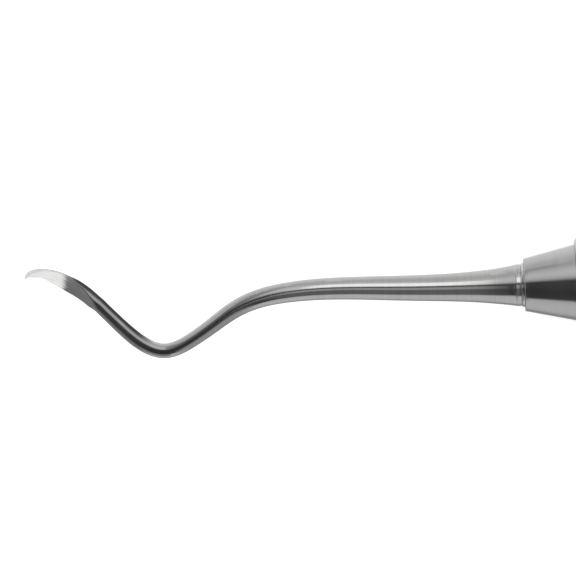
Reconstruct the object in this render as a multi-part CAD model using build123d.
from build123d import *
import os
from math import atan2, cos, radians, sin

# Double-ended spoon (gouge) dental elevator, a pencil-grip hand instrument.
#
# Frame: millimetres. The origin is the middle of the handle, on its axis. X runs along
# the handle, the front working end points to -X. The instrument lies on one flat of its
# eight-sided waist: +Z is up and both shanks bend in the XY plane.
#
# Construction: a hollow handle tube is closed at each end by a nose cone, whose spigot
# is sealed in the tube bore by an O-ring. Each nose cone has a blind M3 x 0.5 socket. A
# working end (blade, bent shank, flared base and threaded stub, one forging) screws into
# it and clamps a thin seat ring between its base and the cone face.
#
# The front working end, seat ring and nose cone are modelled with x = 0 on the front
# cone face and +X into the handle, then moved into place.

TUBE_LENGTH = 85.7                    # end face to end face
CONE_LENGTH = 5.15                    # visible length of a nose cone
HALF_TUBE = TUBE_LENGTH / 2
FACE_X = HALF_TUBE + CONE_LENGTH      # |x| of the two cone faces
TOLERANCE = 1e-3                      # for picking edges by their size and place


# ---------------------------------------------------------------- shared helpers
def turned(points):
    """Solid of revolution about the X axis from (x, radius) points."""
    face = Face(Wire.make_polygon([Vector(x, r, 0) for x, r in points], close=True))
    return revolve(face, axis=Axis.X, revolution_arc=360)


def single(shape):
    """The largest solid of a shape."""
    return max(shape.solids(), key=lambda solid: solid.volume)


def at_front(shape):
    """Moves a shape from the cone-face frame to the front cone."""
    return Pos(-FACE_X, 0, 0) * shape


# ---------------------------------------------------------------- screw thread
# M3 x 0.5 right-hand, with running clearance
PITCH = 0.5
THREAD_CREST_R = 1.45
THREAD_ROOT_R = 1.17
NUT_CREST_R = 1.52          # outer radius of the groove cut in the socket
RIDGE_WIDTH = 0.375         # ridge width at the root radius
FLANK = 1.116               # change of ridge width per radius
FLANK_GAP = 0.09            # extra groove width for running clearance


def thread_ridge(start, turns, base_r, crest_r, root_width):
    """Helical ridge about the X axis, its centreline starting at x = start."""
    def half_width(radius):
        return (root_width - (radius - THREAD_ROOT_R) * FLANK) / 2

    helix = Edge.make_helix(PITCH, turns * PITCH, base_r, center=(0, 0, 0), normal=(0, 0, 1))
    base_half, crest_half = half_width(base_r), half_width(crest_r)
    # the profile lies in the XZ plane, where the helix starts
    profile = Wire.make_polygon([Vector(base_r, 0, -base_half), Vector(crest_r, 0, -crest_half),
                                 Vector(crest_r, 0, crest_half), Vector(base_r, 0, base_half)],
                                close=True)
    ridge = Solid.sweep(Face(profile), path=helix, is_frenet=True)
    ridge = ridge.rotate(Axis.Y, 90)        # Z axis onto X axis
    return Pos(start, 0, 0) * ridge


# ---------------------------------------------------------------- blade and shank
FACE_TILT = 42.0            # tilt of the blade face about the shank heading, degrees
RIM_HALF_ANGLE = 25.0       # where the two seams run on the round shank, degrees
SPACING_MIN, SPACING_MAX, SPACING_GROWTH = 0.12, 0.70, 0.035     # spacing of the sections
BACK_POINTS = 19            # points that carry the arc of the back in each section
FACE_POINTS = 9             # points that carry the arc of the face
FLAT_SAG = 1e-6             # least sag, so that a flat face still counts as an arc

# Blade, from the tip to the shank: chord midpoint between the two cutting rims (x from
# the cone face, y, z), heading, face tilt, half width, back depth, hollow of the face.
BLADE = [
    (-49.675, 2.840, 1.46, 64.0, 60.0, 0.030, 0.110, 0.002),
    (-49.635, 2.895, 1.43, 57.0, 60.0, 0.045, 0.235, 0.003),
    (-49.560, 2.965, 1.39, 47.0, 60.0, 0.062, 0.350, 0.004),
    (-49.433, 3.035, 1.33, 35.4, 60.0, 0.115, 0.455, 0.008),
    (-49.245, 3.093, 1.24, 27.4, 58.0, 0.236, 0.563, 0.020),
    (-49.007, 3.133, 1.12, 19.4, 56.0, 0.360, 0.645, 0.040),
    (-48.686, 3.179, 0.97, 10.4, 53.0, 0.457, 0.680, 0.065),
    (-48.270, 3.203, 0.79, -0.6, 50.5, 0.545, 0.665, 0.090),
    (-47.844, 3.165, 0.63, -10.6, 48.0, 0.650, 0.655, 0.110),
    (-47.409, 3.037, 0.50, -19.6, 46.0, 0.793, 0.655, 0.130),
    (-46.899, 2.857, 0.38, -25.6, 44.3, 0.905, 0.650, 0.135),
    (-46.342, 2.601, 0.28, -29.6, 43.0, 0.960, 0.680, 0.115),
    (-45.718, 2.214, 0.21, -31.6, 42.2, 0.972, 0.810, 0.070),
    (-45.161, 1.826, 0.18, -33.6, 42.0, 0.915, 0.980, 0.030),
    (-44.612, 1.377, 0.20, -36.6, 42.0, 0.805, 1.105, 0.006),
    (-44.114, 0.922, 0.27, -39.6, 42.0, 0.690, 1.195, 0.000),
    (-43.683, 0.446, 0.37, -42.6, 42.0, 0.555, 1.295, -0.005),
    (-43.245, -0.045, 0.45, -45.1, 42.0, 0.417, 1.368, -0.020),
]

# Bent shank, from the blade to the base: axis point (x from the cone face, y), radius,
# heading in degrees. Two rows to a line.
SHANK = [
    (-42.52, -0.100, 0.707, -46.9), (-42.19, -0.458, 0.704, -46.9),
    (-41.81, -0.865, 0.704, -46.8), (-41.42, -1.271, 0.707, -46.6),
    (-40.85, -1.873, 0.715, -46.2), (-40.18, -2.560, 0.728, -45.0),
    (-39.51, -3.204, 0.738, -42.3), (-38.84, -3.775, 0.746, -38.0),
    (-38.25, -4.194, 0.749, -33.1), (-37.67, -4.532, 0.750, -26.6),
    (-37.08, -4.778, 0.749, -18.1), (-36.49, -4.910, 0.747, -7.3),
    (-35.88, -4.920, 0.745, 5.2), (-35.28, -4.811, 0.744, 15.3),
    (-34.67, -4.599, 0.744, 22.6), (-33.95, -4.256, 0.747, 27.9),
    (-33.13, -3.789, 0.756, 31.0), (-32.20, -3.206, 0.774, 33.1),
    (-31.17, -2.515, 0.802, 34.3), (-30.14, -1.815, 0.836, 33.4),
    (-29.11, -1.178, 0.872, 29.5), (-28.08, -0.671, 0.906, 23.1),
    (-27.06, -0.298, 0.937, 17.3), (-26.05, -0.028, 0.965, 12.6),
    (-24.94, 0.179, 0.993, 8.7), (-23.63, 0.340, 1.022, 5.5),
    (-22.23, 0.446, 1.049, 3.2), (-20.42, 0.508, 1.084, 0.8),
    (-18.42, 0.500, 1.122, -1.1), (-15.92, 0.415, 1.175, -2.4),
    (-13.42, 0.300, 1.235, -2.5), (-10.93, 0.200, 1.296, -2.0),
    (-8.43, 0.122, 1.370, -1.6), (-6.73, 0.080, 1.443, -1.3),
    (-5.43, 0.055, 1.524, -1.2), (-4.23, 0.030, 1.624, -1.1),
    (-3.03, 0.010, 1.750, -0.9), (-1.93, 0.001, 1.892, -0.3),
    (-1.23, 0.000, 2.000, 0.0), (-0.93, 0.000, 2.050, 0.0),
    (-0.70, 0.000, 2.064, 0.0), (-0.50, 0.000, 2.064, 0.0),
]


def frame_vectors(heading, tilt):
    """Heading of the section, its width direction and the outward normal of its face."""
    turn, lean = radians(heading), radians(tilt)
    along = Vector(cos(turn), sin(turn), 0)
    across = Vector(-sin(turn), cos(turn), 0)
    up = Vector(0, 0, 1)
    return along, up * sin(lean) + across * cos(lean), up * cos(lean) - across * sin(lean)


def blade_row(x, y, z, heading, tilt, half_width, depth, hollow):
    """A blade section, referred to its mid-thickness centre instead of its chord."""
    normal = frame_vectors(heading, tilt)[2]
    centre = Vector(x, y, z) - normal * ((depth + hollow) / 2)
    return [centre.X, centre.Y, centre.Z, heading, tilt, half_width, depth, hollow]


def shank_row(x, y, radius, heading):
    """A full circle of the shank, split at the same two seams as the blade sections."""
    seam = radians(RIM_HALF_ANGLE)
    return [x, y, 0.0, heading, FACE_TILT, radius * sin(seam), radius * (1 + cos(seam)),
            -radius * (1 - cos(seam))]


def spline_rows(rows):
    """Natural cubic spline through table rows against distance along their centres.

    Returns the function from distance to row, and the whole length."""
    knots = [0.0]
    for p, q in zip(rows, rows[1:]):
        knots.append(knots[-1] + sum((q[i] - p[i]) ** 2 for i in range(3)) ** 0.5)
    count = len(rows)
    gaps = [knots[i + 1] - knots[i] for i in range(count - 1)]
    columns = []                # second derivatives at the knots, for each column
    for col in zip(*rows):
        # tridiagonal system for the second derivatives, zero at both ends
        lower, diagonal, upper, right = [0.0] * count, [1.0] * count, [0.0] * count, [0.0] * count
        for i in range(1, count - 1):
            lower[i], upper[i] = gaps[i - 1], gaps[i]
            diagonal[i] = 2 * (gaps[i - 1] + gaps[i])
            right[i] = 6 * ((col[i + 1] - col[i]) / gaps[i] - (col[i] - col[i - 1]) / gaps[i - 1])
        for i in range(1, count):
            factor = lower[i] / diagonal[i - 1]
            diagonal[i] -= factor * upper[i - 1]
            right[i] -= factor * right[i - 1]
        seconds = [0.0] * count
        for i in range(count - 2, 0, -1):
            seconds[i] = (right[i] - upper[i] * seconds[i + 1]) / diagonal[i]
        columns.append(seconds)

    def row_at(distance):
        i = 0
        while i < count - 2 and distance > knots[i + 1]:
            i += 1
        gap = gaps[i]
        before, after = (knots[i + 1] - distance) / gap, (distance - knots[i]) / gap
        return [before * start + after * end
                + ((before ** 3 - before) * seconds[i]
                   + (after ** 3 - after) * seconds[i + 1]) * gap * gap / 6
                for start, end, seconds in zip(rows[i], rows[i + 1], columns)]

    return row_at, knots[-1]


def arc_spline(plane, half_width, sag, count, back):
    """Arc from rim to rim, sagging to local -y by sag, as a spline with evenly spaced points.

    The back runs from the local -x rim to the +x rim, the face runs back again."""
    sag = sag if abs(sag) > FLAT_SAG else FLAT_SAG
    radius = (half_width ** 2 + sag ** 2) / (2 * sag)       # signed with the sag
    centre = radius - sag
    sign = 1 if sag > 0 else -1
    sweep = 2 * atan2(half_width * sign, centre * sign)
    way = 1 if back else -1
    steps = [i / (count - 1) for i in range(count)]
    points, tangents = [], []
    for step in steps:
        angle = way * sweep * (step - 0.5)
        points.append(plane.from_local_coords(
            Vector(radius * sin(angle), centre - radius * cos(angle), 0)))
    speed = radius * sweep * way
    for angle in (-way * sweep / 2, way * sweep / 2):
        tip = plane.from_local_coords(Vector(speed * cos(angle), speed * sin(angle), 0))
        tangents.append(tip - plane.origin)
    return Edge.make_spline(points, tangents=tangents, parameters=steps, scale=False)


def section_wire(row):
    """Closed section wire: the back from rim to rim, then the face back again."""
    x, y, z, heading, tilt, half_width, depth, hollow = row
    along, width_dir, normal = frame_vectors(heading, tilt)
    chord = Vector(x, y, z) + normal * ((depth + hollow) / 2)
    plane = Plane(origin=chord, x_dir=width_dir, z_dir=along)
    return Wire([arc_spline(plane, half_width, depth, BACK_POINTS, back=True),
                 arc_spline(plane, half_width, hollow, FACE_POINTS, back=False)])


def make_blade_and_shank():
    """One loft from the tip to the base, its sections closest together at the tip."""
    rows = [blade_row(*row) for row in BLADE] + [shank_row(*row) for row in SHANK]
    row_at, length = spline_rows(rows)
    stations = [0.0]
    while stations[-1] < length:
        spacing = min(SPACING_MAX, SPACING_MIN + SPACING_GROWTH * stations[-1])
        stations.append(stations[-1] + spacing)
    stretch = length / stations[-1]         # brings the last station onto the end
    return Solid.make_loft([section_wire(row_at(s * stretch)) for s in stations])


# ---------------------------------------------------------------- stub
SEAT_THICK = 0.30           # seat ring, between the land and the cone face
LAND_FROM = -0.93           # start of the land's lead-in cone
LAND_LEAD = 0.13            # length of the lead-in cone
LAND_START_R = 2.01
LAND_R = 2.10
LAND_CHAMFER = 0.07
UNDERCUT_R = 1.20           # between the land and the thread
UNDERCUT_RAMP = 0.05
THREAD_FROM, THREAD_TO = 0.5, 4.5
STUB_END = 4.85
STUB_TIP_LENGTH = 0.12      # coned tip of the stub
STUB_TIP_DROP = 0.16
RIDGE_BASE_R = 1.08         # ridge starts inside the core, so that they fuse
RIDGE_TURNS = 10
# envelope that tapers the two ends of the ridge
ENVELOPE_ROOT_R = THREAD_ROOT_R + 0.02
ENVELOPE_CREST_R = THREAD_CREST_R + 0.05
LEAD_IN = 0.26              # taper at the land end
FULL_TO = THREAD_TO - 0.20  # end of the full-height ridge
RUN_OUT = THREAD_TO + 0.08  # end of the ridge


def make_stub():
    """Land, undercut and threaded stub."""
    core = turned([
        (LAND_FROM, 0), (LAND_FROM, LAND_START_R), (LAND_FROM + LAND_LEAD, LAND_R),
        (-SEAT_THICK - LAND_CHAMFER, LAND_R), (-SEAT_THICK, LAND_R - LAND_CHAMFER),
        (-SEAT_THICK, UNDERCUT_R), (THREAD_FROM - UNDERCUT_RAMP, UNDERCUT_R),
        (THREAD_FROM, THREAD_ROOT_R), (STUB_END - STUB_TIP_LENGTH, THREAD_ROOT_R),
        (STUB_END, THREAD_ROOT_R - STUB_TIP_DROP), (STUB_END, 0),
    ])
    ridge = thread_ridge(0.0, RIDGE_TURNS, RIDGE_BASE_R, THREAD_CREST_R, RIDGE_WIDTH)
    envelope = turned([
        (THREAD_FROM, 0), (THREAD_FROM, ENVELOPE_ROOT_R),
        (THREAD_FROM + LEAD_IN, ENVELOPE_CREST_R), (FULL_TO, ENVELOPE_CREST_R),
        (RUN_OUT, ENVELOPE_ROOT_R), (RUN_OUT, 0),
    ])
    return core + (ridge & envelope)


def make_working_ends():
    """Front and rear working ends.

    The rear blade and shank are inverted through the handle centre, a mirror image. The
    rear stub is the front stub turned about Z, so it keeps a right-hand thread."""
    blade_and_shank = make_blade_and_shank()
    stub = make_stub()
    front = single(at_front(blade_and_shank + stub))
    inverted = blade_and_shank.moved(Location((-FACE_X, 0, 0)))
    inverted = inverted.mirror(Plane.XY).mirror(Plane.XZ).mirror(Plane.YZ)
    rear = single(inverted + at_front(stub).rotate(Axis.Z, 180))
    return front, rear


# ---------------------------------------------------------------- seat ring
SEAT_R = 2.25               # against the cone face
SEAT_FRONT_R = 2.13         # against the working end
SEAT_BORE_R = 1.56
SEAT_ROUND = 0.05


def make_seat_ring():
    """Thin coned ring with both outer rims rounded."""
    ring = turned([(-SEAT_THICK, SEAT_BORE_R), (-SEAT_THICK, SEAT_FRONT_R), (0, SEAT_R),
                   (0, SEAT_BORE_R)])
    rims = ring.edges().filter_by(
        lambda e: e.bounding_box().size.Y > 2 * SEAT_FRONT_R - TOLERANCE
        and e.bounding_box().size.X < TOLERANCE)
    return single(at_front(fillet(rims, SEAT_ROUND)))


# ---------------------------------------------------------------- nose cone
CONE_FRONT_R = 2.63
CONE_REAR_R = 3.82
CONE_FRONT_ROUND = 0.08
SPIGOT_R = 3.59
SPIGOT_LENGTH = 9.0
SPIGOT_CHAMFER = 0.5
SEAL_GROOVE_R = 2.90
SEAL_GROOVE_WIDTH = 1.20
SEAL_AT = 4.6               # from the shoulder to the middle of the seal groove
SOCKET_DEPTH = 6.2          # to the end of the cylindrical bore
SOCKET_BORE_R = 1.23
SOCKET_MOUTH_R = 1.60       # of the 45 degree countersink, at the cone face
SOCKET_OVERRUN = 0.2        # cutters start this far outside the cone face
SOCKET_TIP_LENGTH = 0.65    # coned bottom of the socket
SOCKET_TIP_R = 0.12
NUT_START = -1.0            # start of the cutting ridge
NUT_TURNS = 13
NUT_BASE_R = 1.15
NUT_ENVELOPE_R = 2.0        # clear of the crests
NUT_TAPER_FROM = SOCKET_DEPTH - 0.9
NUT_TAPER_TO = SOCKET_DEPTH - 0.4
NUT_TAPER_R = SOCKET_BORE_R - 0.02


def make_nose_cone():
    """Cone and grooved spigot with a blind threaded socket."""
    groove_from = CONE_LENGTH + SEAL_AT - SEAL_GROOVE_WIDTH / 2
    groove_to = CONE_LENGTH + SEAL_AT + SEAL_GROOVE_WIDTH / 2
    spigot_end = CONE_LENGTH + SPIGOT_LENGTH
    body = turned([
        (0, 0), (0, CONE_FRONT_R), (CONE_LENGTH, CONE_REAR_R), (CONE_LENGTH, SPIGOT_R),
        (groove_from, SPIGOT_R), (groove_from, SEAL_GROOVE_R), (groove_to, SEAL_GROOVE_R),
        (groove_to, SPIGOT_R), (spigot_end - SPIGOT_CHAMFER, SPIGOT_R),
        (spigot_end, SPIGOT_R - SPIGOT_CHAMFER), (spigot_end, 0),
    ])
    front_corner = body.edges().filter_by(
        lambda e: abs(e.bounding_box().size.Y - 2 * CONE_FRONT_R) < TOLERANCE
        and e.bounding_box().max.X < TOLERANCE)
    body = fillet(front_corner, CONE_FRONT_ROUND)
    socket_end = SOCKET_DEPTH + SOCKET_TIP_LENGTH
    socket = turned([
        (-SOCKET_OVERRUN, 0), (-SOCKET_OVERRUN, SOCKET_MOUTH_R + SOCKET_OVERRUN),
        (SOCKET_MOUTH_R - SOCKET_BORE_R, SOCKET_BORE_R), (SOCKET_DEPTH, SOCKET_BORE_R),
        (socket_end, SOCKET_TIP_R), (socket_end, 0),
    ])
    ridge = thread_ridge(NUT_START, NUT_TURNS, NUT_BASE_R, NUT_CREST_R, RIDGE_WIDTH + FLANK_GAP)
    envelope = turned([
        (-SOCKET_OVERRUN, 0), (-SOCKET_OVERRUN, NUT_ENVELOPE_R),
        (NUT_TAPER_FROM, NUT_ENVELOPE_R), (NUT_TAPER_TO, NUT_TAPER_R), (NUT_TAPER_TO, 0),
    ])
    return single(at_front(body - socket - (ridge & envelope)))


# ---------------------------------------------------------------- spigot seal
SEAL_MINOR_R = 0.34
SEAL_MAJOR_R = SPIGOT_R - SEAL_MINOR_R      # flush with the spigot


def make_spigot_seal():
    """O-ring in the groove of the front spigot."""
    seal = Solid.make_torus(SEAL_MAJOR_R, SEAL_MINOR_R, Plane.YZ)
    return single(Pos(SEAL_AT - HALF_TUBE, 0, 0) * seal)


# ---------------------------------------------------------------- handle tube
# All x are measured from the middle of the handle, the same on both sides.
TUBE_BORE_R = 3.60
WAIST_R = 5.00              # waist, before the flats
WAIST_AF = 9.50             # waist across its eight flats
WAIST_HALF = 12.6           # half length of the full-height waist
WAIST_RAMP = 0.9            # axial length of the coned ends of the waist
COLLAR_R = 4.68             # smooth end collars
NECK_R = COLLAR_R - 0.30    # groove between waist and grip zone
NECK_TO = 13.80
GRIP_FROM = 13.95
GRIP_R = 4.64
GRIP_GROOVE = dict(x=38.1, width=0.55, depth=0.28, radius=GRIP_R)
GRIP_END = GRIP_GROOVE["x"] + GRIP_GROOVE["width"] / 2 + 0.05     # the collar starts here
COLLAR_GROOVE_X = (39.6, 40.9)
COLLAR_GROOVE = dict(width=0.40, depth=0.18, radius=COLLAR_R)
GROOVE_SLOPE = 0.45         # axial run of a groove side, per depth
RIM_ROUND = 0.76            # rounding of the end rims
PRISM_OVERRUN = 5           # octagonal prism beyond each end of the tube


def groove(x, width, depth, radius):
    """Points of one ring groove with sloping sides, crossed in +x order."""
    half, run = width / 2, depth * GROOVE_SLOPE
    return [(x - half, radius), (x - half + run, radius - depth),
            (x + half - run, radius - depth), (x + half, radius)]


def make_handle_tube():
    """Hollow tube with the flats of the waist cut by an octagonal prism."""
    half = [(WAIST_HALF, WAIST_R), (WAIST_HALF + WAIST_RAMP, NECK_R),
            (NECK_TO, NECK_R), (GRIP_FROM, GRIP_R)]         # outer profile for x >= 0
    half += groove(**GRIP_GROOVE)
    half += [(GRIP_END, COLLAR_R)]
    for x in COLLAR_GROOVE_X:
        half += groove(x, **COLLAR_GROOVE)
    half += [(HALF_TUBE, COLLAR_R)]
    outer = [(-x, r) for x, r in reversed(half)] + half
    body = turned([(-HALF_TUBE, TUBE_BORE_R)] + outer + [(HALF_TUBE, TUBE_BORE_R)])
    rims = body.edges().filter_by(
        lambda e: abs(e.bounding_box().size.Y - 2 * COLLAR_R) < TOLERANCE
        and abs(abs(e.center().X) - HALF_TUBE) < TOLERANCE)
    body = fillet(rims, RIM_ROUND)
    octagon = Plane.YZ * RegularPolygon(radius=WAIST_AF / 2, side_count=8, major_radius=False,
                                        rotation=22.5)
    return single(body & extrude(octagon, amount=HALF_TUBE + PRISM_OVERRUN, both=True))


# ---------------------------------------------------------------- write the pieces
pieces = {"handle_tube": make_handle_tube()}
pieces["front_working_end"], pieces["rear_working_end"] = make_working_ends()
for name, make in (("seat_ring", make_seat_ring), ("nose_cone", make_nose_cone),
                   ("spigot_seal", make_spigot_seal)):
    front_piece = make()
    pieces[f"front_{name}"] = front_piece
    pieces[f"rear_{name}"] = single(front_piece.rotate(Axis.Z, 180))

os.makedirs("parts", exist_ok=True)
for name, piece in pieces.items():
    export_step(piece, f"parts/{name}.step")
